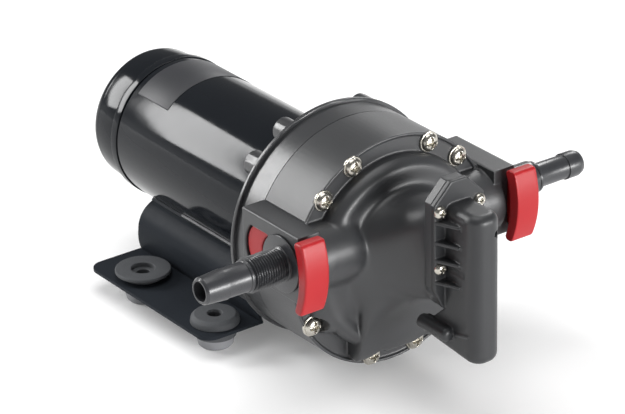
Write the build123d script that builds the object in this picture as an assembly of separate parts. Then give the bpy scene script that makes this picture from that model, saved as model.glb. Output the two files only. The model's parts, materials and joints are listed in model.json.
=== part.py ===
from build123d import *
import math
import os

# Water pressure pump: five-chamber diaphragm head, permanent magnet motor, pressure switch.
# Everything is drawn in the pump's own frame: X runs from the inlet side to the outlet side,
# Y runs back along the shaft from the front edge of the head, and Z is up from the shaft.
# The finished pieces are then moved so that the origin lies under the middle of the four feet.

# Stance
axis_height = 62.0
foot_spacing_x = 100.0
foot_spacing_y = 60.0
feet_middle_y = 102.0

# Pump head
head_radius = 56.0
head_depth = 31.0
ledge_y = 1.2
ledge_inner_radius = 46.7
lip_radius = 54.6
screw_circle = 52.0
screw_angles = (43.0, 65.5, 114.5, 137.0, 208.5, 256.0, 284.0, 331.5)
screw_radius = 2.5
screw_end_y = 47.5
washer_radius = 5.0
screw_head_radius = 4.4

# Port blocks and ports
port_z = 12.0
block_face_x = 61.7
block_inner_x = 49.5
block_front_y = -12.0
block_back_y = 30.5
block_top_z = 28.6
block_bottom_z = -4.4
barrel_radius = 15.5
socket_radius = 9.55
shank_radius = 9.5
duct_radius = 5.5
flange_radius = 13.5
flange_back_x = 62.9
thread_radius = 8.33
thread_length = 18.0
tail_bore = 4.6

# Slide clips
clip_inner_x = 58.0
clip_outer_x = 60.7
grip_inner_x = 53.7
grip_outer_x = 66.6
clip_travel = 7.0
clip_gap = 0.35

# Drive housing
housing_radius = 55.9
rim_radius = 57.7
rim_front_y = 44.4
housing_back_y = 46.5
web_front_y = 31.0
web_back_y = 33.0
spigot_radius = 33.4
ear_radius = 5.8
ear_end_y = 54.0

# Chambers, diaphragm and wobble drive
chamber_count = 5
chamber_circle = 24.0
chamber_radius = 11.3
valve_plate_radius = 48.8
valve_plate_front_y = 19.0
chamber_floor_y = 23.0
valve_plate_back_y = 29.5
wobble_middle_y = 38.0
wobble_tilt = 3.0
piston_radius = 8.5
pad_radius = 9.2
web_hole_radius = 11.3
journal_radius = 5.0
cam_bearing_outer_radius = 13.0

# Motor
can_radius = 35.7
can_wall = 1.8
can_front_y = 46.8
can_back_y = 172.5
cap_front_y = 163.0
bead_radius = 36.1
cap_radius = 34.3
cap_end_y = 198.0
bolt_circle = 29.6
shaft_radius = 4.0
armature_radius = 27.0
armature_front_y = 82.0
armature_back_y = 134.0
slot_count = 12
commutator_radius = 12.0
brush_y = 154.5
magnet_radius = 33.6
magnet_inner_radius = 28.4

# Base plate and feet
plate_top_z = -50.0
plate_thickness = 1.5
plate_half_width = 64.8
plate_front_y = 58.4
plate_back_y = 158.1
wing_inner_x = 32.2
foot_top_radius = 12.0
foot_disc_radius = 13.6
foot_hole_radius = 3.25
foot_top_z = -45.6
saddle_screw_y = (78.0, 138.0)

# Pressure switch
switch_z = 26.3
switch_flange_front_y = -48.6
switch_flange_back_y = -45.6
switch_front_y = -70.0
switch_half_width = 8.0
switch_top_z = 42.5
switch_bottom_z = -31.0
switch_screw_x = 10.9
switch_screw_z = (40.0, 12.6)
adjuster_x = 4.6
adjuster_z = 32.6


def bar_y(radius, y0, y1, x=0.0, z=0.0):
    return Pos(x, (y0 + y1) / 2, z) * Rot(90, 0, 0) * Cylinder(radius, abs(y1 - y0))


def bar_x(radius, x0, x1, y=0.0, z=0.0):
    return Pos((x0 + x1) / 2, y, z) * Rot(0, 90, 0) * Cylinder(radius, abs(x1 - x0))


def bar_z(radius, z0, z1, x=0.0, y=0.0):
    return Pos(x, y, (z0 + z1) / 2) * Cylinder(radius, abs(z1 - z0))


def ring_y(outer, inner, y0, y1, x=0.0, z=0.0):
    return bar_y(outer, y0, y1, x, z) - bar_y(inner, y0 - 1, y1 + 1, x, z)


def block(x0, x1, y0, y1, z0, z1):
    return Pos((x0 + x1) / 2, (y0 + y1) / 2, (z0 + z1) / 2) * Box(abs(x1 - x0), abs(y1 - y0), abs(z1 - z0))


def on_circle(radius, degrees):
    # x and z of a place on a circle round the shaft
    turn = math.radians(degrees)
    return radius * math.cos(turn), radius * math.sin(turn)


def turned(corners, rounds=()):
    # solid of revolution about the shaft; corners are (radius, y), rounds are (corner number, radius)
    outline = make_face(Polyline(*corners, close=True))
    for number, radius in rounds:
        corner = outline.vertices().sort_by_distance(Vector(*corners[number]))[0]
        outline = fillet(corner, radius)
    return revolve(outline, Axis.Y, 360)


def turned_x(corners, z):
    # solid of revolution about a port's axis; corners are (x, radius)
    return Pos(0, 0, z) * revolve(make_face(Polyline(*corners, close=True)), Axis.X, 360)


def push_y(outline, y0, y1):
    # outline drawn as (x, z), pushed along the shaft from y0 to y1
    return Pos(0, y1, 0) * extrude(Plane.XZ * outline, amount=y1 - y0)


def push_x(outline, x0, x1):
    # outline drawn as (y, z), pushed across the pump from x0 to x1
    return Pos(x0, 0, 0) * extrude(Plane.YZ * outline, amount=x1 - x0)


def band(outer, inner, start, sweep, y0, y1):
    # part of a tube round the shaft, from the start angle through the sweep, in degrees
    outer_arc = CenterArc((0, 0), outer, start, sweep)
    inner_arc = CenterArc((0, 0), inner, start, sweep)
    sides = [Line(outer_arc @ 0, inner_arc @ 0), Line(outer_arc @ 1, inner_arc @ 1)]
    return push_y(make_face([outer_arc, inner_arc, *sides]), y0, y1)


def tilted(shape):
    # the wobble drive's parts are drawn square to the shaft, then tipped about their middle
    return Pos(0, wobble_middle_y, 0) * Rot(wobble_tilt, 0, 0) * Pos(0, -wobble_middle_y, 0) * shape


def chamber_places():
    step = 360.0 / chamber_count
    return [on_circle(chamber_circle, 90 + step * number) for number in range(chamber_count)]


def group(solids):
    return Compound(children=[part for solid in solids for part in solid.solids()])


# Pump head

def dome_shell():
    corners = [
        (0, head_depth), (head_radius, head_depth), (head_radius, 0), (lip_radius, 0),
        (lip_radius, ledge_y), (ledge_inner_radius, ledge_y), (ledge_inner_radius, -3.6),
        (43.6, -9.4), (37.6, -7.2), (30.0, -7.2), (0, -7.2),
    ]
    return turned(corners, rounds=((6, 4.0), (7, 3.0), (8, 4.0)))


def bulge_section(y, half_width, low, high, crown_radius, foot_radius):
    outline = Rectangle(2 * half_width, high - low)
    corners = outline.vertices().sort_by(Axis.Y)
    outline = fillet(corners[0:2], foot_radius)
    outline = fillet(outline.vertices().sort_by(Axis.Y)[-2:], crown_radius)
    return Pos(0, y, (low + high) / 2) * (Plane.XZ * outline)


def head_bulge():
    # rounded boss that fills the middle of the dome and draws in to the neck that carries the switch
    return loft([
        bulge_section(-4.0, 31.6, -31.0, 33.6, 30.5, 30.5), bulge_section(-9.5, 30.0, -29.0, 32.6, 29.0, 29.0),
        bulge_section(-12.5, 27.2, -25.0, 32.4, 26.0, 25.5), bulge_section(-16.5, 23.2, -20.4, 33.2, 22.5, 22.0),
        bulge_section(-22.0, 19.0, -15.6, 34.2, 18.5, 17.0), bulge_section(-29.0, 15.0, -12.4, 36.4, 14.5, 12.0),
        bulge_section(-36.0, 12.2, -10.2, 40.4, 11.0, 8.0), bulge_section(-42.5, 11.2, -9.0, 46.4, 8.0, 6.0),
    ])


def head_apron():
    # boxed lower part of the dome, flat underneath, that flows up into the boss
    return loft([
        bulge_section(ledge_y, 25.6, -46.0, 5.0, 3.0, 1.2), bulge_section(-7.0, 25.6, -45.6, 5.0, 3.0, 1.6),
        bulge_section(-10.4, 25.0, -36.0, 5.0, 4.0, 2.5), bulge_section(-13.6, 22.0, -26.0, 5.0, 6.0, 5.0),
        bulge_section(-18.0, 17.0, -19.0, 5.0, 8.0, 7.0), bulge_section(-24.0, 12.0, -14.6, 5.0, 8.0, 8.0),
    ])


def head_lobe(side):
    # rounded lobe that hangs below each port barrel
    x = side * 35.8
    top = bar_z(11.0, -20.4, 12.0, x, 3.0)
    return top + Pos(x, 3.0, -20.4) * Sphere(11.0)


def port_barrel(side):
    barrel = bar_x(barrel_radius, 26.0, 53.2, -1.0, port_z - 1.0)
    barrel = fillet(barrel.edges().sort_by(Axis.X)[0], 4.0)
    groove = block(33.0, 45.0, -18.0, -15.6, port_z - 5.5, port_z - 2.5)
    barrel -= groove
    return barrel if side > 0 else mirror(barrel, about=Plane.YZ)


def port_block(side):
    body = block(block_inner_x, block_face_x, block_front_y, block_back_y, block_bottom_z, block_top_z)
    body = fillet(body.edges().filter_by(Axis.Y).sort_by(Axis.X)[-2:], 0.8)
    return body if side > 0 else mirror(body, about=Plane.YZ)


def tongue_outline(start_y, corner_y, end_y, half_height):
    # the clip's rear end, drawn as (y, z): straight above and below, bowed at the back
    top = Line((start_y, half_height), (corner_y, half_height))
    bow = ThreePointArc((corner_y, half_height), (end_y, 0), (corner_y, -half_height))
    bottom = Line((corner_y, -half_height), (start_y, -half_height))
    return make_face([top, bow, bottom, Line(bottom @ 1, top @ 0)])


def clip_channel(side):
    # slot that the clip's plate slides in, and the window that shows its rear end
    inner, outer = clip_inner_x - 0.4, clip_outer_x + 0.4
    wide = block(inner, outer, block_front_y - 1, 17.8, port_z - 12.4, port_z + 12.4)
    narrow = Pos(0, 0, port_z) * push_x(tongue_outline(17.0, 24.2, 28.2, 9.7), inner, outer)
    window = Pos(0, 0, port_z) * push_x(tongue_outline(11.0, 24.2, 28.2, 9.7), outer - 0.1, block_face_x + 1)
    cut = wide + narrow + window
    return cut if side > 0 else mirror(cut, about=Plane.YZ)


def port_bore(side):
    bore = bar_x(socket_radius, 38.0, block_face_x + 1, 0, port_z)
    bore += bar_x(duct_radius, 30.0, 40.0, 0, port_z)
    return bore if side > 0 else mirror(bore, about=Plane.YZ)


def switch_mount_outline(half_width, chamfer, top, bottom):
    return Polyline(
        (-half_width, bottom + 4), (-half_width, top - chamfer), (-half_width + chamfer, top),
        (half_width - chamfer, top), (half_width, top - chamfer), (half_width, bottom + 4),
        (half_width - 5, bottom - 6), (-half_width + 5, bottom - 6), close=True,
    )


def pump_head():
    head = dome_shell() + head_bulge() + head_apron()
    for side in (-1, 1):
        head += head_lobe(side) + port_barrel(side) + port_block(side)
    head += push_y(make_face(switch_mount_outline(13.4, 9.0, 52.4, -2.0)), switch_flange_back_y, -40.5)
    # inlet gallery round the outlet chamber, each open towards the valve plate
    head -= ring_y(40.5, 24.0, -3.0, 17.6) - block(18.0, 45.0, -9.0, 9.0, port_z - 9.0, port_z + 9.0)
    head -= bar_y(20.5, -6.0, 17.6) + bar_x(duct_radius, 12.0, 40.0, 0, port_z)
    head -= bar_y(49.0, 17.5, head_depth + 1)
    # passage from the outlet chamber to the switch's pressure pocket
    head -= bar_y(1.5, -44.0, 0.0, 0, 18.5) + bar_y(9.0, switch_flange_back_y - 1, -43.0, 0, switch_z)
    for side in (-1, 1):
        head -= port_bore(side) + clip_channel(side)
    for angle in screw_angles:
        x, z = on_circle(screw_circle, angle)
        head -= bar_y(screw_radius + 0.2, -1.0, head_depth + 1, x, z)
        head -= bar_y(washer_radius + 0.15, -16.0, ledge_y, x, z)
    for x in (-switch_screw_x, switch_screw_x):
        for z in switch_screw_z:
            head -= bar_y(1.5, -46.0, -40.5, x, z)
    return head


def head_gasket():
    gasket = ring_y(48.6, 41.0, 17.5, 19.0) + ring_y(23.8, 20.7, 17.5, 19.0)
    return gasket + block(23.0, 42.0, 17.5, 19.0, -2.5, 2.5)


def valve_plate():
    plate = bar_y(valve_plate_radius, valve_plate_front_y, valve_plate_back_y)
    plate -= bar_y(19.0, valve_plate_front_y - 1, 20.5)
    for x, z in chamber_places():
        plate -= bar_y(chamber_radius, chamber_floor_y, valve_plate_back_y + 1, x, z)
        # umbrella valve stem with four inlet holes round it, and one outlet hole near the middle
        inlet_x, inlet_z = x * 29.0 / chamber_circle, z * 29.0 / chamber_circle
        plate -= bar_y(1.2, 18.0, 24.0, inlet_x, inlet_z)
        for quarter in range(4):
            dx, dz = on_circle(3.0, 45 + 90 * quarter)
            plate -= bar_y(1.0, 18.0, 24.0, inlet_x + dx, inlet_z + dz)
        outlet_x, outlet_z = x * 15.0 / chamber_circle, z * 15.0 / chamber_circle
        plate -= bar_y(1.6, 18.0, 24.0, outlet_x, outlet_z)
    return plate - bar_y(2.0, 18.0, 30.0)


def inlet_valves():
    # rubber umbrellas that open into the chambers
    umbrella = bar_y(1.2, 17.8, 23.2) + Pos(0, 17.7, 0) * Sphere(1.5) + bar_y(4.6, 23.0, 24.1)
    scale_out = 29.0 / chamber_circle
    return group([Pos(x * scale_out, 0, z * scale_out) * umbrella for x, z in chamber_places()])


def outlet_valve():
    # one dished rubber disc over the five outlet holes, held by its own stem
    disc = turned([(0, 17.6), (9.0, 18.2), (18.0, 19.6), (18.0, 20.5), (0, 20.5)])
    return disc + bar_y(2.0, 20.0, 29.0)


def chamber_shift(x, z):
    # how far the tipped wobble plate holds a chamber's pad forwards or back of the middle
    return -z * math.tan(math.radians(wobble_tilt))


def diaphragm():
    # flat clamped sheet; each chamber's pad hangs on a rolling wall at its place in the stroke
    sheet = bar_y(48.6, valve_plate_back_y, 31.0)
    for x, z in chamber_places():
        sheet -= bar_y(chamber_radius - 0.4, 29.0, 32.0, x, z)
    for x, z in chamber_places():
        shift = chamber_shift(x, z)
        wall = [
            (2.9, 29.7 + shift), (8.7, 29.7 + shift), (11.4, 29.6), (11.4, 30.9),
            (8.7, 30.9 + shift), (2.9, 30.9 + shift),
        ]
        sheet += Pos(x, 0, z) * turned(wall)
    return sheet


# Fasteners of the head

def head_screws():
    # pan heads with a cross recess, long shanks into the housing's ears
    head = turned([(0, -2.6), (2.4, -2.5), (3.8, -1.7), (screw_head_radius, -0.5), (screw_head_radius, 0.2), (0, 0.2)])
    screw = head + bar_y(screw_radius, 0.0, screw_end_y)
    screw -= block(-2.2, 2.2, -3.0, -1.4, -0.55, 0.55) + block(-0.55, 0.55, -3.0, -1.4, -2.2, 2.2)
    return group([Pos(x, 0, z) * screw for x, z in (on_circle(screw_circle, angle) for angle in screw_angles)])


def head_washers():
    washer = ring_y(washer_radius, screw_radius, 0.2, ledge_y)
    return group([Pos(x, 0, z) * washer for x, z in (on_circle(screw_circle, angle) for angle in screw_angles)])


# Port fittings and clips

def inlet_fitting():
    # shank with seal and clip grooves, flange, pipe thread blank, undercut and tapered hose tail
    thread_end = flange_back_x + thread_length
    corners = [
        (40.2, tail_bore), (40.2, 8.7), (41.0, shank_radius), (46.0, shank_radius), (46.0, 7.3), (49.0, 7.3),
        (49.0, shank_radius), (57.7, shank_radius), (57.7, 7.6), (61.0, 7.6), (61.0, shank_radius),
        (62.0, shank_radius), (62.0, flange_radius), (flange_back_x, flange_radius),
        (flange_back_x, thread_radius), (thread_end, thread_radius), (thread_end, 7.0), (thread_end + 0.9, 7.0),
        (thread_end + 0.9, 7.6), (thread_end + 2.1, 7.6), (thread_end + 2.1, 7.0), (94.5, 6.9),
        (94.5, 7.2), (105.4, 6.4), (106.7, 5.6), (106.7, tail_bore),
    ]
    return mirror(turned_x(corners, port_z), about=Plane.YZ)


def outlet_fitting():
    # same shank, then a plain barrel, a ring and a thinner hose tail that ends in one barb
    corners = [
        (40.2, tail_bore), (40.2, 8.7), (41.0, shank_radius), (46.0, shank_radius), (46.0, 7.3), (49.0, 7.3),
        (49.0, shank_radius), (57.7, shank_radius), (57.7, 7.6), (61.0, 7.6), (61.0, shank_radius),
        (62.0, shank_radius), (62.0, flange_radius), (flange_back_x, flange_radius),
        (flange_back_x, 8.3), (80.6, 8.3), (81.0, 7.9), (81.0, 7.0), (81.8, 7.0), (81.8, 7.5), (83.2, 7.5),
        (83.4, 5.9), (100.6, 5.8), (100.6, 6.35), (107.9, 6.3), (109.6, 5.4), (109.6, tail_bore),
    ]
    return turned_x(corners, port_z)


def fitting_oring(side):
    return Pos(side * 47.5, 0, port_z) * Rot(0, 90, 0) * Torus(8.4, 1.05)


def clip_plate():
    # keyhole plate: the narrow end grips the fitting's groove, the wide end lets it go
    plate = block(clip_inner_x, clip_outer_x, -17.0, 17.4, port_z - 12.0, port_z + 12.0)
    plate += Pos(0, 0, port_z) * push_x(tongue_outline(17.0, 23.8, 27.8, 9.3), clip_inner_x, clip_outer_x)
    plate -= bar_x(7.95, 50.0, 64.0, 0, port_z) + block(50.0, 64.0, 0, clip_travel, port_z - 7.95, port_z + 7.95)
    return plate - bar_x(9.85, 50.0, 64.0, clip_travel, port_z)


def clip_grip():
    # bowed finger grip whose rear edge follows the fitting's flange
    rear = ThreePointArc((-14.4, 17.9), (-18.2, 0.2), (-14.0, -17.7))
    front = ThreePointArc((-21.2, 17.9), (-24.2, 0.2), (-19.4, -17.7))
    outline = make_face([rear, front, Line(rear @ 0, front @ 0), Line(rear @ 1, front @ 1)])
    grip = Pos(0, 0, port_z) * push_x(outline, grip_inner_x, grip_outer_x)
    grip = fillet(grip.edges().filter_by(Axis.X), 1.8)
    return fillet(grip.faces().sort_by(Axis.X)[-1].edges(), 1.0)


def slide_clip(side):
    clip = clip_plate() + clip_grip()
    return clip if side > 0 else mirror(clip, about=Plane.YZ)


# Drive housing and wobble drive

def drive_housing():
    housing = turned([
        (0, web_front_y), (housing_radius, web_front_y), (housing_radius, rim_front_y), (rim_radius, rim_front_y),
        (rim_radius, housing_back_y), (spigot_radius, housing_back_y), (spigot_radius, 58.0), (0, 58.0),
    ], rounds=((3, 0.4), (4, 0.6)))
    for angle in screw_angles:
        x, z = on_circle(screw_circle, angle)
        ear = bar_y(ear_radius, rim_front_y, ear_end_y, x, z)
        housing += fillet(ear.edges().sort_by(Axis.Y)[-1], 1.0) & bar_y(rim_radius - 0.1, 40.0, 60.0)
    housing -= bar_y(47.0, web_back_y, 44.0) + bar_y(31.0, 43.0, 59.0)
    for x, z in chamber_places():
        housing -= bar_y(web_hole_radius, 30.0, 34.0, x, z)
    housing -= bar_y(12.0, 30.0, 34.0)
    for angle in screw_angles:
        x, z = on_circle(screw_circle, angle)
        housing -= bar_y(screw_radius, 30.0, screw_end_y + 0.5, x, z)
    return housing


def wobble_plate():
    # hub with the bearing seat and one arm and pad for each chamber
    plate = bar_y(17.0, 34.5, 42.3)
    for x, z in chamber_places():
        angle = math.degrees(math.atan2(z, x))
        arm = Rot(0, -angle, 0) * block(10.0, chamber_circle, 35.8, 40.8, -5.0, 5.0)
        plate += arm + bar_y(pad_radius, 31.6, 40.8, x, z)
    plate -= bar_y(cam_bearing_outer_radius, 33.0, 41.5) + bar_y(10.5, 33.0, 43.0)
    for x, z in chamber_places():
        plate -= bar_y(1.6, 31.0, 38.6, x, z)
    return tilted(plate)


def pistons():
    # chamber-side discs whose stems pass through the diaphragm
    piston = turned([(0, 27.0), (6.5, 27.0), (piston_radius, 27.7), (piston_radius, 28.6), (2.4, 28.6), (2.4, 31.6), (0, 31.6)])
    piston -= bar_y(1.6, 26.0, 32.0) + bar_y(3.1, 26.8, 28.0)
    return group([tilted(Pos(x, 0, z) * piston) for x, z in chamber_places()])


def piston_screws():
    screw = bar_y(3.0, 26.8, 28.0) + bar_y(1.6, 27.8, 38.4) - block(-1.6, 1.6, 26.3, 27.4, -0.35, 0.35)
    return group([tilted(Pos(x, 0, z) * screw) for x, z in chamber_places()])


def ball_race(outer, inner, y0, y1, track, ball):
    middle = (y0 + y1) / 2
    groove = Pos(0, middle, 0) * Rot(90, 0, 0) * Torus(track, ball + 0.05)
    return ring_y(outer, inner, y0, y1) - groove


def ball_set(count, middle, track, ball):
    places = [on_circle(track, 360 * number / count) for number in range(count)]
    return [Pos(x, middle, z) * Sphere(ball) for x, z in places]


def cam_bearing_outer():
    race = ball_race(cam_bearing_outer_radius, 10.6, 34.5, 41.5, 9.2, 2.3)
    balls = ball_set(8, wobble_middle_y, 9.2, 2.25)
    return group([tilted(part) for part in (race, *balls)])


def cam_bearing_inner():
    return tilted(ball_race(7.8, journal_radius, 34.5, 41.5, 9.2, 2.3))


def eccentric_hub():
    # tipped journal for the cam bearing on a sleeve with a counterweight, clamped to the shaft
    hub = tilted(bar_y(journal_radius, 34.5, 43.0) + bar_y(6.6, 41.5, 43.4))
    hub += bar_y(9.8, 43.0, 54.0)
    hub += band(20.0, 9.0, 200.0, 140.0, 45.6, 53.0)
    hub -= bar_y(shaft_radius, 44.0, 55.0)
    return hub - bar_z(1.5, 0.0, 12.0, 0, 49.5)


def hub_set_screw():
    return bar_z(1.5, shaft_radius, 9.6, 0, 49.5)


# Motor

def motor_can():
    can = ring_y(can_radius, can_radius - can_wall, can_front_y, can_back_y)
    for y in saddle_screw_y:
        can -= bar_z(2.0, -40.0, -30.0, 0, y)
    return fillet(can.edges().sort_by(Axis.Y)[-1], 0.5)


def motor_rear_cap():
    # spigot inside the can, bead against the can's end, slightly smaller cup with a rounded end
    outer = turned([
        (0, cap_front_y), (33.6, cap_front_y), (33.6, can_back_y + 0.3), (bead_radius, can_back_y + 0.3),
        (bead_radius, 177.4), (cap_radius, 178.0), (cap_radius, cap_end_y), (0, cap_end_y),
    ], rounds=((6, 5.0),))
    cap = outer - bar_y(32.6, cap_front_y - 1, 180.0) - bar_y(27.0, 179.0, 194.5)
    cap += ring_y(14.5, 11.0, 181.0, 196.0)
    cap += bar_y(14.5, 189.2, 196.0)
    for side in (-1, 1):
        cap += bar_y(3.6, 170.0, 195.0, side * bolt_circle) & outer
        cap -= bar_y(2.0, 160.0, 200.0, side * bolt_circle) + bar_y(3.6, 192.5, 200.0, side * bolt_circle)
    return cap


def label_band():
    return band(can_radius + 0.3, can_radius, 46.4, 87.2, 143.6, 168.8)


def front_end_plate():
    plate = bar_y(can_radius - can_wall, 59.0, 62.0) + bar_y(14.0, 59.0, 67.0)
    plate -= bar_y(11.0, 60.0, 70.0) + bar_y(6.5, 58.0, 61.0)
    for side in (-1, 1):
        plate += bar_y(3.6, 61.0, 68.0, side * bolt_circle)
        plate -= bar_y(2.0, 58.5, 70.0, side * bolt_circle)
    return plate & bar_y(can_radius - can_wall, 58.0, 70.0)


def motor_bearing_outer(y0, y1):
    race = ball_race(11.0, 9.2, y0, y1, 7.9, 1.9)
    return group([race, *ball_set(7, (y0 + y1) / 2, 7.9, 1.85)])


def motor_bearing_inner(y0, y1):
    return ball_race(6.6, shaft_radius, y0, y1, 7.9, 1.9)


def motor_shaft():
    shaft = bar_y(shaft_radius, 44.2, 189.0) + bar_y(5.0, 70.0, 180.0)
    return shaft - block(-5.0, 5.0, 44.0, 54.0, 3.99, 5.0)


def armature_core():
    # slotted lamination stack, with the winding slots closed down to a narrow mouth
    core = ring_y(armature_radius, 5.0, armature_front_y, armature_back_y)
    for number in range(slot_count):
        angle = 360.0 * number / slot_count
        pocket = Rot(0, -angle, 0) * block(14.0, 24.5, 81.0, 135.0, -2.6, 2.6)
        mouth = Rot(0, -angle, 0) * block(24.0, 29.0, 81.0, 135.0, -1.1, 1.1)
        core -= pocket + mouth
    return core


def armature_windings():
    # coils fill the slots and turn over at both ends of the stack
    front = turned([(9.0, 72.0), (21.0, 72.0), (25.0, 76.0), (25.0, 82.0), (9.0, 82.0)], rounds=((1, 3.0),))
    back = turned([(9.0, 134.0), (25.0, 134.0), (25.0, 140.0), (21.0, 144.0), (9.0, 144.0)], rounds=((3, 3.0),))
    windings = front + back
    for number in range(slot_count):
        angle = 360.0 * number / slot_count
        windings += Rot(0, -angle, 0) * block(14.2, 24.3, 81.9, 134.1, -2.5, 2.5)
    return windings


def commutator():
    bars = ring_y(commutator_radius, 5.0, 147.0, 162.0) + ring_y(14.0, 5.0, 145.0, 147.6)
    for number in range(slot_count):
        angle = 360.0 * number / slot_count
        bars -= Rot(0, -angle, 0) * block(10.6, 13.0, 147.6, 163.0, -0.3, 0.3)
    return bars


def field_magnets():
    return group([band(magnet_radius, magnet_inner_radius, start, 128.0, 76.0, 140.0) for start in (26.0, 206.0)])


def brush_plate():
    plate = ring_y(32.4, 16.0, 164.0, 166.0)
    for side in (-1, 1):
        holder = block(13.2, 27.0, 149.8, 164.2, -4.6, 4.6) - block(12.0, 25.4, 151.0, 158.2, -3.3, 3.3)
        foot = block(16.5, 27.0, 158.0, 164.2, -4.6, 4.6)
        piece = holder + foot - block(12.0, 16.5, 158.2, 165.0, -6.0, 6.0)
        plate += piece if side > 0 else mirror(piece, about=Plane.YZ)
    return plate - bar_y(2.3, 160.0, 170.0, bolt_circle) - bar_y(2.3, 160.0, 170.0, -bolt_circle)


def carbon_brushes():
    brush = block(11.5, 21.5, 151.2, 158.0, -3.1, 3.1) - bar_y(commutator_radius + 0.3, 150.0, 160.0)
    return group([brush, mirror(brush, about=Plane.YZ)])


def brush_springs():
    # bent leaf spring pressed between each brush and the end of its holder
    leaf = Polyline((21.5, -2.6), (25.4, 0.0), (21.5, 2.6), (21.5, 2.0), (24.6, 0.0), (21.5, -2.0), close=True)
    spring = push_y(make_face(leaf), 152.2, 157.2)
    return group([spring, mirror(spring, about=Plane.YZ)])


def through_bolts():
    bolt = bar_y(3.4, 192.5, 195.4) + bar_y(2.0, 62.4, 193.0) - block(-4.0, 4.0, 194.4, 196.0, -0.5, 0.5)
    return group([Pos(side * bolt_circle, 0, 0) * bolt for side in (-1, 1)])


# Base plate, feet and saddle

def saddle_wall(side):
    # upright wall from the bend, rounded over at the top to meet the cradle under the can
    outer = [ThreePointArc((-33.2, -51.5), (-34.9, -45.5), (-34.9, -39.5)),
             ThreePointArc((-34.9, -39.5), (-32.3, -31.5), (-26.0, -26.6))]
    inner = [ThreePointArc((-31.8, -51.0), (-33.4, -45.4), (-33.4, -39.7)),
             ThreePointArc((-33.4, -39.7), (-31.1, -32.4), (-25.1, -27.5))]
    ends = [Line(outer[0] @ 0, inner[0] @ 0), Line(outer[1] @ 1, inner[1] @ 1)]
    wall = push_y(make_face([*outer, *inner, *ends]), plate_front_y, plate_back_y)
    return wall if side < 0 else mirror(wall, about=Plane.YZ)


def base_plate():
    low = plate_top_z - plate_thickness
    middle_y = (plate_front_y + plate_back_y) / 2
    wing = Pos(0, middle_y, low) * extrude(
        RectangleRounded(2 * plate_half_width, plate_back_y - plate_front_y, 7.0), plate_thickness)
    wing -= block(-wing_inner_x, wing_inner_x, 0, 200, low - 1, plate_top_z + 1)
    plate = wing + saddle_wall(-1) + saddle_wall(1)
    plate += band(can_radius + 1.55, can_radius + 0.05, 224.6, 90.8, plate_front_y, plate_back_y)
    for side in (-1, 1):
        for end in (-1, 1):
            y = feet_middle_y + end * foot_spacing_y / 2
            plate -= bar_z(8.0, low - 1, plate_top_z + 1, side * foot_spacing_x / 2, y)
    for y in saddle_screw_y:
        plate -= bar_z(2.0, -40.0, -30.0, 0, y)
    return plate


def saddle_strips():
    # packing let in along the top of each saddle wall, in two lengths
    strips = [band(can_radius + 1.4, can_radius + 0.05, 219.6, 4.6, y0, y1) for y0, y1 in ((60.0, 81.0), (83.0, 130.0))]
    return group([*strips, *(mirror(strip, about=Plane.YZ) for strip in strips)])


def saddle_screws():
    screw = bar_z(3.6, -40.3, -37.3) + bar_z(2.0, -38.0, -33.95) - block(-2.5, 2.5, -0.5, 0.5, -41.0, -39.2)
    return group([Pos(0, y, 0) * screw for y in saddle_screw_y])


def rubber_foot(side, end):
    # bushing gripped round the plate: two-tier bowl below, waist in the hole, and a top that is a
    # rounded cone at the front end and a thin overhanging disc with a wide mouth at the rear end
    low = plate_top_z - plate_thickness
    bowl = [(0, -axis_height), (7.2, -axis_height), (8.6, -60.6), (9.2, -56.4), (9.8, -56.4), (10.8, low), (8.0, low)]
    cone = [(8.0, plate_top_z), (foot_top_radius, plate_top_z), (11.6, foot_top_z - 1.6), (10.2, foot_top_z), (0, foot_top_z)]
    disc = [(8.0, plate_top_z), (9.8, plate_top_z), (10.4, foot_top_z - 1.8), (foot_disc_radius, foot_top_z - 1.6),
            (foot_disc_radius, foot_top_z - 0.5), (foot_disc_radius - 0.6, foot_top_z), (0, foot_top_z)]
    outline = make_face(Polyline(*bowl, *(cone if end < 0 else disc), close=True))
    foot = revolve(Plane.XZ * outline, Axis.Z, 360)
    foot -= bar_z(foot_hole_radius, -axis_height - 1, foot_top_z + 1)
    if end > 0:
        foot -= bar_z(5.7, foot_top_z - 2.4, foot_top_z + 1)
    return Pos(side * foot_spacing_x / 2, feet_middle_y + end * foot_spacing_y / 2, 0) * foot


# Pressure switch

def switch_slab():
    # narrow upright housing, its lower half reaching back under the dome
    side = Polyline(
        (switch_front_y, switch_bottom_z), (switch_front_y, switch_top_z), (-47.0, switch_top_z),
        (-47.0, -9.0), (-38.0, -17.0), (-38.0, switch_bottom_z + 3.0), close=True)
    slab = push_x(make_face(side), -switch_half_width, switch_half_width)
    upright = slab.edges().filter_by(Axis.Z).sort_by(Axis.Y)[0:2]
    slab = fillet(upright, 7.0)
    rim = slab.faces().sort_by(Axis.Z)[-1].edges().sort_by(Axis.Y)[0:-1]
    slab = fillet(rim, 4.0)
    keel = slab.faces().sort_by(Axis.Z)[0].edges().sort_by(Axis.Y)[0:-1]
    return fillet(keel, 4.5)


def switch_rib(z):
    rib = make_face(Polyline((-13.6, -47.0), (-13.6, -49.4), (-9.2, -59.8), (-7.5, -59.8), (-7.5, -47.0), close=True))
    left = Pos(0, 0, z - 0.8) * extrude(rib, 1.6)
    return left + mirror(left, about=Plane.YZ)


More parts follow.
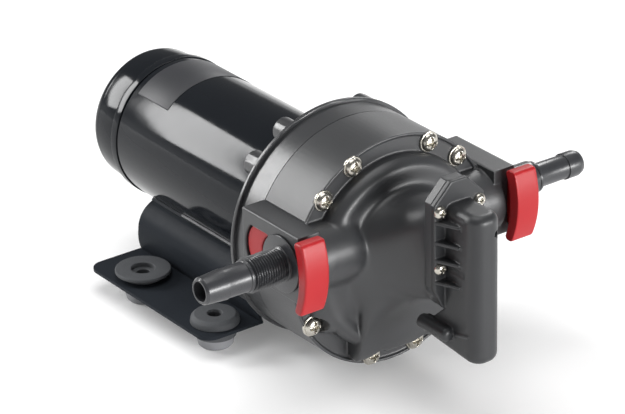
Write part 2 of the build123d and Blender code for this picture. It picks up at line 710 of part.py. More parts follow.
def switch_housing():
    housing = push_y(make_face(switch_mount_outline(14.0, 9.5, 53.0, -2.0)), switch_flange_front_y, switch_flange_back_y)
    housing += switch_slab()
    for z in (35.4, 25.6, 17.0, 6.2):
        housing += switch_rib(z)
    boss = bar_y(3.4, -55.0, -35.0, -10.6, -18.6)
    housing += fillet(boss.edges().sort_by(Axis.Y)[0], 2.4) + block(-10.6, -7.0, -54.0, -36.0, -21.6, -15.6)
    housing += bar_z(1.6, switch_bottom_z - 2.0, switch_bottom_z + 2.0, 0, -56.0)
    # short raised line on the left side, in front of the lead boss
    housing += Pos(-7.6, -60.0, -17.2) * Rot(-12, 0, 0) * Box(1.8, 9.6, 1.2)
    # chamber for the plunger, spring and microswitch
    housing -= block(-5.6, 5.6, -67.0, -47.5, 10.0, 39.0)
    housing -= bar_y(6.9, -49.4, switch_flange_back_y + 0.1, 0, switch_z)
    housing -= block(-5.6, 5.6, -66.0, -42.0, -26.5, 10.5)
    housing -= bar_y(1.9, -53.6, -34.0, -10.6, -18.6) + bar_x(1.9, -10.6, 0.0, -52.0, -18.6)
    housing -= bar_y(1.55, -71.0, -53.0, adjuster_x, adjuster_z)
    for x in (-switch_screw_x, switch_screw_x):
        for z in switch_screw_z:
            housing -= bar_y(1.6, -50.0, -45.0, x, z)
            housing -= bar_y(3.3, -62.0, switch_flange_front_y, x, z)
    return housing


def switch_diaphragm():
    # rubber disc with a beaded rim clamped between the head and the switch housing
    disc = bar_y(8.7, -44.9, -43.9) + ring_y(8.7, 6.9, switch_flange_back_y, -43.0)
    return Pos(0, 0, switch_z) * disc


def switch_plunger():
    plunger = bar_y(6.4, -47.2, -45.2) + bar_y(2.0, -55.9, -47.0)
    return Pos(0, 0, switch_z) * plunger


def switch_spring():
    return Pos(0, 0, switch_z) * ring_y(4.4, 3.2, -51.95, -47.25)


def spring_seat():
    seat = block(-5.3, 5.3, -53.2, -52.0, switch_z - 6.0, switch_z + 9.0)
    return seat - bar_y(2.3, -54.0, -51.0, 0, switch_z)


def microswitch():
    body = block(-3.2, 2.6, -66.6, -57.0, switch_z - 14.0, switch_z + 5.0)
    body -= block(-1.3, 1.3, -59.0, -56.0, switch_z - 1.5, switch_z + 1.5)
    body -= bar_x(1.0, -4.0, 4.0, -63.5, switch_z - 10.5) + bar_x(1.0, -4.0, 4.0, -63.5, switch_z + 2.0)
    return body


def microswitch_button():
    return block(-1.2, 1.2, -58.2, -56.2, switch_z - 1.3, switch_z + 1.3)


def switch_terminals():
    # blade terminals out of the microswitch's lower end
    return group([block(-0.4, 0.4, y - 1.6, y + 1.6, switch_z - 22.0, switch_z - 14.0) for y in (-64.0, -59.6)])


def adjusting_screw():
    screw = bar_y(1.5, -66.2, -53.5, adjuster_x, adjuster_z)
    return screw - block(adjuster_x - 2, adjuster_x + 2, -67.0, -65.4, adjuster_z - 0.3, adjuster_z + 0.3)


def switch_screws():
    head = turned([(0, -51.0), (1.8, -50.8), (2.9, -49.8), (2.9, switch_flange_front_y), (0, switch_flange_front_y)])
    screw = head + bar_y(1.5, -49.0, -40.8)
    screw -= block(-1.5, 1.5, -51.5, -50.0, -0.35, 0.35) + block(-0.35, 0.35, -51.5, -50.0, -1.5, 1.5)
    places = [(x, z) for x in (-switch_screw_x, switch_screw_x) for z in switch_screw_z]
    return group([Pos(x, 0, z) * screw for x, z in places])


pieces = {
    "pump_head": pump_head,
    "head_gasket": head_gasket,
    "valve_plate": valve_plate,
    "inlet_valves": inlet_valves,
    "outlet_valve": outlet_valve,
    "diaphragm": diaphragm,
    "head_screws": head_screws,
    "head_washers": head_washers,
    "inlet_fitting": inlet_fitting,
    "outlet_fitting": outlet_fitting,
    "inlet_oring": lambda: fitting_oring(-1),
    "outlet_oring": lambda: fitting_oring(1),
    "inlet_clip": lambda: slide_clip(-1),
    "outlet_clip": lambda: slide_clip(1),
    "drive_housing": drive_housing,
    "wobble_plate": wobble_plate,
    "pistons": pistons,
    "piston_screws": piston_screws,
    "cam_bearing_outer": cam_bearing_outer,
    "cam_bearing_inner": cam_bearing_inner,
    "eccentric_hub": eccentric_hub,
    "hub_set_screw": hub_set_screw,
    "motor_can": motor_can,
    "motor_rear_cap": motor_rear_cap,
    "label_band": label_band,
    "front_end_plate": front_end_plate,
    "front_bearing_outer": lambda: motor_bearing_outer(60.0, 67.0),
    "front_bearing_inner": lambda: motor_bearing_inner(60.0, 67.0),
    "rear_bearing_outer": lambda: motor_bearing_outer(182.0, 189.0),
    "rear_bearing_inner": lambda: motor_bearing_inner(182.0, 189.0),
    "motor_shaft": motor_shaft,
    "armature_core": armature_core,
    "armature_windings": armature_windings,
    "commutator": commutator,
    "field_magnets": field_magnets,
    "brush_plate": brush_plate,
    "carbon_brushes": carbon_brushes,
    "brush_springs": brush_springs,
    "through_bolts": through_bolts,
    "base_plate": base_plate,
    "saddle_strips": saddle_strips,
    "saddle_screws": saddle_screws,
    "foot_front_left": lambda: rubber_foot(-1, -1),
    "foot_front_right": lambda: rubber_foot(1, -1),
    "foot_rear_left": lambda: rubber_foot(-1, 1),
    "foot_rear_right": lambda: rubber_foot(1, 1),
    "switch_housing": switch_housing,
    "switch_diaphragm": switch_diaphragm,
    "switch_plunger": switch_plunger,
    "switch_spring": switch_spring,
    "spring_seat": spring_seat,
    "microswitch": microswitch,
    "microswitch_button": microswitch_button,
    "switch_terminals": switch_terminals,
    "adjusting_screw": adjusting_screw,
    "switch_screws": switch_screws,
}

os.makedirs("parts", exist_ok=True)
for name, make in pieces.items():
    placed = Pos(0, -feet_middle_y, axis_height) * make()
    export_step(placed, f"parts/{name}.step")
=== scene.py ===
import json
import math
import bmesh
import bpy
import numpy as np
from mathutils import Matrix, Vector


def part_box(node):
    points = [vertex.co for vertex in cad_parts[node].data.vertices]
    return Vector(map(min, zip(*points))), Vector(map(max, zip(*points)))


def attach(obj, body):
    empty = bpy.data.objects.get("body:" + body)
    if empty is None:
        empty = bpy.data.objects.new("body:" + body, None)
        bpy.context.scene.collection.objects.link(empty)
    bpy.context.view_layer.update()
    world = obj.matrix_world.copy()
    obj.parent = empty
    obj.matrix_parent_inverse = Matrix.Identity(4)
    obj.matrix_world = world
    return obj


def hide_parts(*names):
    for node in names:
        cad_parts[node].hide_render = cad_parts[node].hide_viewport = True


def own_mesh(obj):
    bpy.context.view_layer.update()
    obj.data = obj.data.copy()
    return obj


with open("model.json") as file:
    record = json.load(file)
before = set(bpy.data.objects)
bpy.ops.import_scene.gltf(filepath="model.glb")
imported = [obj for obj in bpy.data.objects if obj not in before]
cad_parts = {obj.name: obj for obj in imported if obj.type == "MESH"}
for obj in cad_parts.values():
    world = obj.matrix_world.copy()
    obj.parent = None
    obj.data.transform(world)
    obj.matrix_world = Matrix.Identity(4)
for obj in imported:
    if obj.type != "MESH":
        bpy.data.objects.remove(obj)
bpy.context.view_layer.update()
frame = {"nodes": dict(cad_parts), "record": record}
nodes = frame["nodes"]
print("frame loaded,", len(nodes), "nodes")

# Shapes are drawn in millimetres: x across the pump, y back along the shaft from the head's front
# edge, z up from the shaft. The can's own box gives where the shaft is, and the head's web its start.
canLow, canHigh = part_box("motor_can")
canStart = 46.8  # the can begins this far behind the head's front edge
shaftStart = np.array([0.0, canLow.y * 1000 - canStart, (canLow.z + canHigh.z) * 500])
canRadius = (canHigh.x - canLow.x) * 500
canEnd = canHigh.y * 1000 - shaftStart[1]


def toPart(points):
    # drawing millimetres to the frame's metres
    return (np.asarray(points, float) + shaftStart) / 1000


# Materials

def toLinear(hexColour):
    # sRGB hex to linear, by the standard's straight foot and 2.4 power
    srgb = np.array([int(hexColour[i:i + 2], 16) / 255 for i in (1, 3, 5)])
    linear = np.where(srgb <= 0.04045, srgb / 12.92, ((srgb + 0.055) / 1.055) ** 2.4)
    return (*linear.tolist(), 1.0)


def addNode(tree, kind, settings=None, links=None):
    # a setting is one of the node's own properties where it has one of that name, and else a socket's value
    node = tree.nodes.new(kind)
    for name, value in (settings or {}).items():
        if isinstance(name, str) and hasattr(node, name):
            setattr(node, name, value)
        else:
            node.inputs[name].default_value = value
    for name, source in (links or {}).items():
        tree.links.new(source, node.inputs[name])
    return node


def makeFinish(name, look):
    # a base colour that drifts between two tones, a surface grain, and roughness that follows the grain;
    # a paler colour painted below a given height stands for the white floor's reflection, and "stretch" draws the
    # grain out along an axis
    material = bpy.data.materials.new(name)
    material.use_nodes = True
    tree = material.node_tree
    shader = tree.nodes["Principled BSDF"]
    place = addNode(tree, "ShaderNodeTexCoord").outputs["Object"]
    drift = addNode(tree, "ShaderNodeTexNoise",
                    {"Scale": 1000 / look["driftMm"], "Detail": 3.0, "Roughness": 0.55}, {"Vector": place})
    tones = addNode(tree, "ShaderNodeMix",
                    {"data_type": "RGBA", 6: toLinear(look["dark"]), 7: toLinear(look["light"])},
                    {0: drift.outputs[0]})
    grainPlace = place
    if "stretch" in look:
        grainPlace = addNode(tree, "ShaderNodeMapping", {"Scale": look["stretch"]}, {"Vector": place}).outputs[0]
    grain = addNode(tree, "ShaderNodeTexNoise",
                    {"Scale": 1000 / look["grainMm"], "Detail": 4.0, "Roughness": 0.6}, {"Vector": grainPlace})
    rough = addNode(tree, "ShaderNodeMapRange",
                    {"From Min": 0.3, "From Max": 0.7, "To Min": look["rough"][0], "To Max": look["rough"][1]},
                    {"Value": grain.outputs[0]})
    bump = addNode(tree, "ShaderNodeBump", {"Strength": 0.5, "Distance": look["depthMm"] / 1000},
                   {"Height": grain.outputs[0]})
    colour = tones.outputs[2]
    # painted reflection: below the given height the colour turns paler, as if lit by the white floor
    if "tier" in look:
        height = addNode(tree, "ShaderNodeSeparateXYZ", links={0: place}).outputs["Z"]
        meeting, halfSoft = look["tierMm"] / 1000, 2e-4
        above = addNode(tree, "ShaderNodeMapRange",
                        {"From Min": meeting - halfSoft, "From Max": meeting + halfSoft}, {"Value": height})
        colour = addNode(tree, "ShaderNodeMix", {"data_type": "RGBA", 6: toLinear(look["tier"])},
                         {0: above.outputs[0], 7: tones.outputs[2]}).outputs[2]
    tree.links.new(colour, shader.inputs["Base Color"])
    tree.links.new(rough.outputs[0], shader.inputs["Roughness"])
    tree.links.new(bump.outputs[0], shader.inputs["Normal"])
    shader.inputs["Metallic"].default_value = look.get("metallic", 0.0)
    if not look.get("metallic"):
        shader.inputs["IOR"].default_value = look["ior"]
    shader.inputs["Subsurface Weight"].default_value = look.get("subsurface", 0.0)
    shader.inputs["Subsurface Scale"].default_value = 0.001
    return material


looks = {
    # glass-filled polypropylene, moulded in a spark-eroded tool: charcoal with an even 0.5 mm grain and a satin sheen
    "head_moulding": {"dark": "#2b2c2e", "light": "#353638", "driftMm": 18, "grainMm": 0.55, "depthMm": 0.04,
                      "rough": (0.37, 0.45), "ior": 1.62},
    # the same plastic from a finer tool, so its flanks are smoother
    "switch_moulding": {"dark": "#252628", "light": "#2f3032", "driftMm": 15, "grainMm": 0.45, "depthMm": 0.03,
                        "rough": (0.38, 0.46), "ior": 1.5},
    # acetal, moulded and turned smooth: satin black
    "fitting_moulding": {"dark": "#2b2c2f", "light": "#343538", "driftMm": 9, "grainMm": 0.4, "depthMm": 0.015,
                         "rough": (0.26, 0.36), "ior": 1.58},
    # die-cast aluminium under satin powder coat: the coat's orange peel is about 1.5 mm
    "housing_paint": {"dark": "#303133", "light": "#3a3b3d", "driftMm": 22, "grainMm": 1.4, "depthMm": 0.04,
                      "rough": (0.28, 0.36), "ior": 1.62},
    # drawn steel tube in gloss black enamel: long clear reflections with the least ripple; the IOR is under
    # an enamel's, matched to how black the can stays beside its one long highlight
    "motor_paint": {"dark": "#191b1f", "light": "#1f2226", "driftMm": 40, "grainMm": 6.0, "depthMm": 0.02,
                    "rough": (0.09, 0.13), "ior": 1.26},
    # pressed steel in a satin enamel, laid on thinner and bluer, with hardly any sheen
    "base_paint": {"dark": "#26292e", "light": "#2d3136", "driftMm": 30, "grainMm": 2.0, "depthMm": 0.02,
                   "rough": (0.36, 0.44), "ior": 1.12},
    # red acetal, moulded with rounded edges: even, slightly waxy
    "clip_red": {"dark": "#a0151b", "light": "#aa1c22", "driftMm": 12, "grainMm": 0.5, "depthMm": 0.01,
                 "rough": (0.36, 0.46), "ior": 1.42, "subsurface": 0.05},
    # A2 stainless, cold headed: bright with faint drag marks
    "stainless": {"dark": "#b4b0a6", "light": "#cfcbc2", "driftMm": 3, "grainMm": 0.3, "depthMm": 0.01,
                  "rough": (0.20, 0.34), "metallic": 1.0},
    # bright zinc plate on steel: cooler and duller than stainless
    "zinc_steel": {"dark": "#9aa0a4", "light": "#b9bec2", "driftMm": 4, "grainMm": 0.4, "depthMm": 0.01,
                   "rough": (0.28, 0.42), "metallic": 1.0},
    # moulded nitrile: dull grey with a dusty bloom; the lower part is painted paler as a painted reflection of the
    # white floor (the two colours meet at the given height)
    "foot_rubber": {"dark": "#424447", "light": "#4e5053", "driftMm": 7, "grainMm": 0.6, "depthMm": 0.03,
                    "rough": (0.62, 0.8), "ior": 1.5, "tierMm": 5.5, "tier": "#8b8c8f"},
    # cut rubber strip: greyer than the paint beside it, and smoother than the feet
    "strip_rubber": {"dark": "#3c3d40", "light": "#4c4d51", "driftMm": 8, "grainMm": 0.5, "depthMm": 0.02,
                     "rough": (0.4, 0.55), "ior": 1.5},
    # plain film with a satin varnish: it dulls the gloss of the can under it
    "label_film": {"dark": "#2b2c30", "light": "#343539", "driftMm": 25, "grainMm": 0.9, "depthMm": 0.004,
                   "rough": (0.42, 0.48), "ior": 1.5},
    # O-ring nitrile, wiped with grease
    "seal_rubber": {"dark": "#141415", "light": "#1d1d1f", "driftMm": 5, "grainMm": 0.5, "depthMm": 0.01,
                    "rough": (0.3, 0.42), "ior": 1.5},
    # moulded EPDM sheet
    "diaphragm_rubber": {"dark": "#1c1c1c", "light": "#272726", "driftMm": 9, "grainMm": 0.6, "depthMm": 0.03,
                         "rough": (0.55, 0.7), "ior": 1.5},
    # silicone-like valve rubber, translucent grey
    "valve_rubber": {"dark": "#5b5c5a", "light": "#6d6e6b", "driftMm": 5, "grainMm": 0.5, "depthMm": 0.01,
                     "rough": (0.4, 0.55), "ior": 1.43, "subsurface": 0.1},
    # natural acetal, off-white
    "valve_plate_moulding": {"dark": "#cfcdc4", "light": "#dedcd4", "driftMm": 15, "grainMm": 0.5, "depthMm": 0.02,
                             "rough": (0.35, 0.48), "ior": 1.48, "subsurface": 0.1},
    # glass-filled nylon, grey-brown with visible fibre swirl
    "drive_moulding": {"dark": "#4a4742", "light": "#5b5750", "driftMm": 6, "grainMm": 0.5, "depthMm": 0.03,
                       "rough": (0.4, 0.55), "ior": 1.53},
    # moulded acetal, cream white
    "piston_moulding": {"dark": "#c8c6bd", "light": "#d8d6cd", "driftMm": 8, "grainMm": 0.4, "depthMm": 0.02,
                        "rough": (0.35, 0.48), "ior": 1.48},
    # ground bearing steel: nearly a mirror, with fine grinding lines
    "bearing_steel": {"dark": "#a9abad", "light": "#c4c6c8", "driftMm": 6, "grainMm": 0.3, "depthMm": 0.005,
                      "rough": (0.12, 0.22), "metallic": 1.0},
    # sintered iron, oil-dark and porous
    "hub_metal": {"dark": "#5d5a56", "light": "#77736e", "driftMm": 4, "grainMm": 0.35, "depthMm": 0.03,
                  "rough": (0.4, 0.6), "metallic": 1.0},
    # centreless-ground shaft
    "shaft_steel": {"dark": "#9fa1a3", "light": "#bcbec0", "driftMm": 8, "grainMm": 0.3, "depthMm": 0.005,
                    "rough": (0.18, 0.28), "metallic": 1.0},
    # stacked 0.5 mm electrical steel sheets: the edges show as fine bands along the shaft
    "lamination_steel": {"dark": "#4c4d50", "light": "#6f7174", "driftMm": 10, "grainMm": 8, "depthMm": 0.05,
                         "rough": (0.35, 0.55), "metallic": 1.0, "stretch": (0.2, 16.0, 0.2)},
    # enamelled copper wire, varnished: wires 0.6 mm thick lie along the slots
    "copper_wire": {"dark": "#8c4a25", "light": "#b8683a", "driftMm": 5, "grainMm": 1.2, "depthMm": 0.15,
                    "rough": (0.22, 0.36), "metallic": 1.0, "stretch": (1.6, 0.25, 1.6)},
    # turned copper segments, dark where the brushes run
    "copper_bars": {"dark": "#9a5a36", "light": "#c98a5c", "driftMm": 6, "grainMm": 0.8, "depthMm": 0.02,
                    "rough": (0.22, 0.38), "metallic": 1.0, "stretch": (0.3, 4.0, 0.3)},
    # pressed steel, phosphated grey
    "end_plate_steel": {"dark": "#6d7072", "light": "#85888a", "driftMm": 10, "grainMm": 0.5, "depthMm": 0.01,
                        "rough": (0.35, 0.5), "metallic": 1.0},
    # sintered ferrite: dull dark grey, almost ceramic
    "magnet_ferrite": {"dark": "#2f2f31", "light": "#3d3d40", "driftMm": 8, "grainMm": 0.5, "depthMm": 0.02,
                       "rough": (0.45, 0.6), "ior": 2.0},
    # pressed graphite and copper powder
    "brush_carbon": {"dark": "#2b2927", "light": "#3b3733", "driftMm": 3, "grainMm": 0.3, "depthMm": 0.02,
                     "rough": (0.4, 0.55), "ior": 1.9},
    # brown phenolic laminate, dull, with a paper grain
    "brush_holder": {"dark": "#5a4127", "light": "#6e5233", "driftMm": 7, "grainMm": 0.5, "depthMm": 0.02,
                     "rough": (0.38, 0.52), "ior": 1.6},
    # drawn and tempered spring wire
    "spring_steel": {"dark": "#85878a", "light": "#a2a4a6", "driftMm": 3, "grainMm": 0.3, "depthMm": 0.01,
                     "rough": (0.24, 0.36), "metallic": 1.0},
    # moulded phenolic, near black and even
    "microswitch_body": {"dark": "#1b1b1c", "light": "#242425", "driftMm": 6, "grainMm": 0.4, "depthMm": 0.01,
                         "rough": (0.35, 0.45), "ior": 1.55},
    # moulded nylon button, brick red
    "button_moulding": {"dark": "#a8322c", "light": "#b83c35", "driftMm": 3, "grainMm": 0.3, "depthMm": 0.01,
                        "rough": (0.35, 0.45), "ior": 1.5},
    # tinned brass blades
    "terminal_metal": {"dark": "#b3ab93", "light": "#cac3ad", "driftMm": 3, "grainMm": 0.3, "depthMm": 0.01,
                       "rough": (0.25, 0.36), "metallic": 1.0},
    # moulded acetal, off-white, with a fine matt skin
    "seat_moulding": {"dark": "#c4c2ba", "light": "#d4d2ca", "driftMm": 5, "grainMm": 0.4, "depthMm": 0.01,
                      "rough": (0.4, 0.5), "ior": 1.48},
}
finishes = {name: makeFinish(name, look) for name, look in looks.items()}
slotOf = {part["node"]: part["material_slot"] for part in frame["record"]["subparts"]}
bodyOf = {node: body for body, members in frame["record"]["behaviour"]["bodies"].items() for node in members}
for name, cadNode in nodes.items():
    cadNode.data.materials.clear()
    cadNode.data.materials.append(finishes[slotOf[name]])
print("finishes made,", len(finishes))


# Making meshes

def roundedLine(corners, steps=6):
    # closed outline through (along, out, rounding) corners; an arc of that radius meets both sides of a corner
    spots = np.array([corner[:2] for corner in corners], float)
    line = []
    for i, (along, out, rounding) in enumerate(corners):
        here = spots[i]
        if rounding == 0:
            line.append(here)
            continue
        toBefore = spots[i - 1] - here
        toAfter = spots[(i + 1) % len(spots)] - here
        toBefore = toBefore / np.linalg.norm(toBefore)
        toAfter = toAfter / np.linalg.norm(toAfter)
        half = math.acos(float(np.clip(toBefore @ toAfter, -1, 1))) / 2
        split = (toBefore + toAfter) / np.linalg.norm(toBefore + toAfter)
        middle = here + split * rounding / math.sin(half)
        first = here + toBefore * rounding / math.tan(half) - middle
        last = here + toAfter * rounding / math.tan(half) - middle
        turn = math.atan2(first[0] * last[1] - first[1] * last[0], first @ last)
        angle = math.atan2(first[1], first[0]) + turn * np.linspace(0, 1, steps + 1)
        line.extend(middle + rounding * np.stack([np.cos(angle), np.sin(angle)], 1))
    return np.array(line)


def gridFaces(rows, columns, wrapRows=True):
    # four corners of each cell of a rows x columns grid of points; each row closes on itself
    r, c = np.meshgrid(np.arange(rows if wrapRows else rows - 1), np.arange(columns), indexing="ij")
    rNext, cNext = (r + 1) % rows, (c + 1) % columns
    corners = [r * columns + c, r * columns + cNext, rNext * columns + cNext, rNext * columns + c]
    return np.stack(corners, -1).reshape(-1, 4)


def makePiece(name, points, faces, node, smoothAngle=32):
    # doubles at poles and corners are merged, and faces turned outwards
    mesh = bpy.data.meshes.new(name)
    mesh.from_pydata(toPart(points).tolist(), [], faces.tolist())
    tidy = bmesh.new()
    tidy.from_mesh(mesh)
    bmesh.ops.remove_doubles(tidy, verts=tidy.verts, dist=2e-6)
    bmesh.ops.dissolve_degenerate(tidy, edges=tidy.edges, dist=1e-6)
    bmesh.ops.recalc_face_normals(tidy, faces=tidy.faces)
    tidy.to_mesh(mesh)
    tidy.free()
    mesh.shade_smooth()
    mesh.set_sharp_from_angle(angle=math.radians(smoothAngle))
    piece = bpy.data.objects.new(name, mesh)
    bpy.context.scene.collection.objects.link(piece)
    return dressPiece(piece, node)


def dressPiece(piece, node):
    # its node's finish and body, and the node that it takes the place of
    slot = slotOf[node]
    piece.data.materials.clear()
    piece.data.materials.append(finishes[slot])
    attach(piece, bodyOf[node])
    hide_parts(node)
    return piece


def spin(line, columns, axis="y", centre=(0, 0, 0)):
    # the outline (along, out) turned about an axis: rows follow the outline, columns go round
    angle = np.linspace(0, 2 * math.pi, columns, endpoint=False)
    along = np.repeat(line[:, 0:1], columns, 1)
    a, b = line[:, 1:2] * np.cos(angle), line[:, 1:2] * np.sin(angle)
    order = {"x": (along, a, b), "y": (a, along, b), "z": (a, b, along)}[axis]
    return np.stack(order, -1) + np.array(centre, float)


def turnedPiece(name, corners, node, columns=96, axis="y", centre=(0, 0, 0)):
    # a closed outline of (along, out, rounding) corners, turned once round the axis
    points = spin(roundedLine(corners), columns, axis, centre)
    return makePiece(name, points.reshape(-1, 3), gridFaces(*points.shape[:2]), node)


def repeated(points, faces, places):
    # the same small shape at several places
    places = np.array(places, float)
    allPoints = (points[None] + places[:, None]).reshape(-1, 3)
    allFaces = (faces[None] + (np.arange(len(places)) * len(points))[:, None, None]).reshape(-1, 4)
    return allPoints, allFaces


def mergedCopy(node, name):
    # the CAD piece's loose triangles joined into one skin
    mesh = nodes[node].data.copy()
    mesh.name = name
    merge = bmesh.new()
    merge.from_mesh(mesh)
    bmesh.ops.remove_doubles(merge, verts=merge.verts, dist=1e-6)
    bmesh.ops.dissolve_degenerate(merge, edges=merge.edges, dist=1e-6)
    merge.to_mesh(mesh)
    merge.free()
    piece = bpy.data.objects.new(name, mesh)
    bpy.context.scene.collection.objects.link(piece)
    return piece


def softenedCopy(node, name, edgeMm):
    # merged copy of the CAD piece with every hard edge rounded; flat faces are joined first
    flatAngle, hardAngle = math.radians(1.0), math.radians(30)
    piece = mergedCopy(node, name)
    dissolve = bmesh.new()
    dissolve.from_mesh(piece.data)
    bmesh.ops.dissolve_limit(dissolve, angle_limit=flatAngle, verts=dissolve.verts, edges=dissolve.edges)
    dissolve.to_mesh(piece.data)
    dissolve.free()
    piece.data.shade_smooth()
    piece.data.set_sharp_from_angle(angle=hardAngle)
    bevel = piece.modifiers.new("edges", "BEVEL")
    bevel.width = edgeMm / 1000
    bevel.segments = 2
    bevel.limit_method = "ANGLE"
    bevel.angle_limit = hardAngle
    bevel.harden_normals = True
    return dressPiece(piece, node)


def bakeModifiers(piece):
    # the mesh that the modifiers give takes the place of the piece's own
    view = bpy.context.evaluated_depsgraph_get()
    done = bpy.data.meshes.new_from_object(piece.evaluated_get(view))
    piece.modifiers.clear()
    piece.data = done


def circlePlaces(radius, degrees):
    # points on a circle round the shaft, counted from the right-hand side upwards
    angle = np.radians(degrees)
    return np.stack([radius * np.cos(angle), 0 * angle, radius * np.sin(angle)], 1)


# Motor

can = {"wall": 1.8, "edge": 0.5}
turnedPiece("motorCan", [
    (canStart, canRadius, can["edge"]), (canEnd, canRadius, can["edge"]), (canEnd, canRadius - can["wall"], 0),
    (canStart, canRadius - can["wall"], 0)], "motor_can", columns=160)

cap = {"bead": 36.1, "beadStart": canEnd + 0.3, "beadEnd": 177.4, "radius": 34.3, "belly": 0.25, "end": 198.0,
       "round": 5.4, "columns": 160, "pocketX": 29.6, "pocketRadius": 3.6, "pocketStart": 192.5, "drillPast": 4}


def barrelled(settings):
    # the cup's side is a shallow arc: fullest half way along, down by the belly at both ends
    part = np.linspace(-1, 1, 14)
    along = np.linspace(settings["beadEnd"] + 1.4, settings["end"] - settings["round"] - 0.5, len(part))
    out = settings["radius"] - settings["belly"] * part ** 2
    return [(a, o, 0) for a, o in zip(along, out)]


rearCap = turnedPiece("motorRearCap", [
    (163.0, 32.6, 0), (163.0, 33.6, 0.2), (cap["beadStart"], 33.6, 0), (cap["beadStart"], cap["bead"], 0.35),
    (cap["beadEnd"], cap["bead"], 0.5), (cap["beadEnd"] + 0.5, cap["radius"] - 0.5, 0.3), *barrelled(cap),
    (cap["end"], cap["radius"] - cap["belly"], cap["round"]),
    (cap["end"], 15.0, 1.2), (cap["end"] - 1.6, 13.6, 0.8), (cap["end"] - 1.6, 0.001, 0), (189.2, 0.001, 0),
    (189.2, 11.0, 0), (181.0, 11.0, 0), (181.0, 14.5, 0), (194.5, 14.5, 0), (194.5, 27.0, 0), (180.0, 27.0, 0),
    (180.0, 32.6, 0)], "motor_rear_cap", columns=cap["columns"])
for side in (-1, 1):
    # round pocket for a through bolt's head, cut in from the end
    drillEnd = cap["end"] + cap["drillPast"]
    drill = turnedPiece("drill", [
        (cap["pocketStart"], 0.001, 0), (cap["pocketStart"], cap["pocketRadius"], 0.2),
        (drillEnd, cap["pocketRadius"], 0), (drillEnd, 0.001, 0)], "motor_rear_cap", 48,
        centre=(side * cap["pocketX"], 0, 0))
    cut = rearCap.modifiers.new("pocket", "BOOLEAN")
    cut.operation = "DIFFERENCE"
    cut.solver = "EXACT"
    cut.object = drill
    bakeModifiers(rearCap)
    bpy.data.objects.remove(drill)
rearCap.data.shade_smooth()
rearCap.data.set_sharp_from_angle(angle=math.radians(32))


def wrappedSheet(settings):
    # closed thin sheet round the can: rows go round, columns follow the rounded section of the sheet
    start, stop = settings["y"]
    inner, outer = settings["radii"]
    section = roundedLine([(start, inner, 0), (start, outer, settings["edge"]), (stop, outer, settings["edge"]),
                           (stop, inner, 0)], 3)
    angle = np.radians(np.linspace(*settings["angles"], settings["rows"]))[:, None]
    return np.stack([section[:, 1] * np.cos(angle), section[:, 0] + 0 * angle, section[:, 1] * np.sin(angle)], -1)


# film stuck round the top of the can: an arc of a thin ring between two angles
label = {"y": (143.6, 168.8), "radii": (canRadius + 0.01, canRadius + 0.22), "angles": (46.4, 133.6), "rows": 70,
         "edge": 0.1}
sheet = wrappedSheet(label)
rowCount, columnCount = sheet.shape[:2]
sheetFaces = gridFaces(rowCount, columnCount, wrapRows=False)
piece = makePiece("labelBand", sheet.reshape(-1, 3), sheetFaces, "label_band")
closeEnds = bmesh.new()
closeEnds.from_mesh(piece.data)
bmesh.ops.holes_fill(closeEnds, edges=[edge for edge in closeEnds.edges if edge.is_boundary])
bmesh.ops.recalc_face_normals(closeEnds, faces=closeEnds.faces)
closeEnds.to_mesh(piece.data)
closeEnds.free()
print("motor dressed")

# Mouldings: the CAD piece is taken to an even skin, then its joins are let flow into each other


def skinOf(node, name, voxelMm):
    # the CAD piece on an even voxel skin, with its points in drawing millimetres and its edges
    piece = mergedCopy(node, name)
    remesh = piece.modifiers.new("skin", "REMESH")
    remesh.mode = "VOXEL"
    remesh.voxel_size = voxelMm / 1000
    bakeModifiers(piece)
    spots = np.empty(len(piece.data.vertices) * 3)
    piece.data.vertices.foreach_get("co", spots)
    edges = np.empty(len(piece.data.edges) * 2, np.int64)
    piece.data.edges.foreach_get("vertices", edges)
    return piece, spots.reshape(-1, 3) * 1000 - shaftStart, edges.reshape(-1, 2)


def relaxed(points, edges, weight, passes, giveBack=0.0):
    # each pass moves a point by its weight towards the mean of its neighbours;
    # giveBack undoes part of it and keeps the bulk
    count = np.bincount(edges.ravel(), minlength=len(points))[:, None]
    pulls = [0.6, -giveBack] if giveBack else [0.6]
    for pull in pulls * passes:
        total = np.zeros_like(points)
        for axis in range(3):
            total[:, axis] = (np.bincount(edges[:, 0], points[edges[:, 1], axis], len(points))
                              + np.bincount(edges[:, 1], points[edges[:, 0], axis], len(points)))
        points = points + pull * weight[:, None] * (total / count - points)
    return points


def finishSkin(piece, spots, node, trianglesMost):
    # the moved points go back, and the skin is thinned to its share of triangles
    piece.data.vertices.foreach_set("co", toPart(spots).ravel())
    piece.data.update()
    thin = piece.modifiers.new("thin", "DECIMATE")
    piece.data.calc_loop_triangles()
    thin.ratio = min(1.0, trianglesMost / len(piece.data.loop_triangles))
    bakeModifiers(piece)
    piece.data.shade_smooth()
    piece.data.set_sharp_from_angle(angle=math.radians(60))
    dressPiece(piece, node)
    print(piece.name, "dressed,", len(piece.data.polygons), "faces")


def ramp(value, zeroAt, oneAt):
    # 0 up to zeroAt, 1 from oneAt on and straight between; zeroAt may be the larger
    return np.clip((value - zeroAt) / (oneAt - zeroAt), 0, 1)


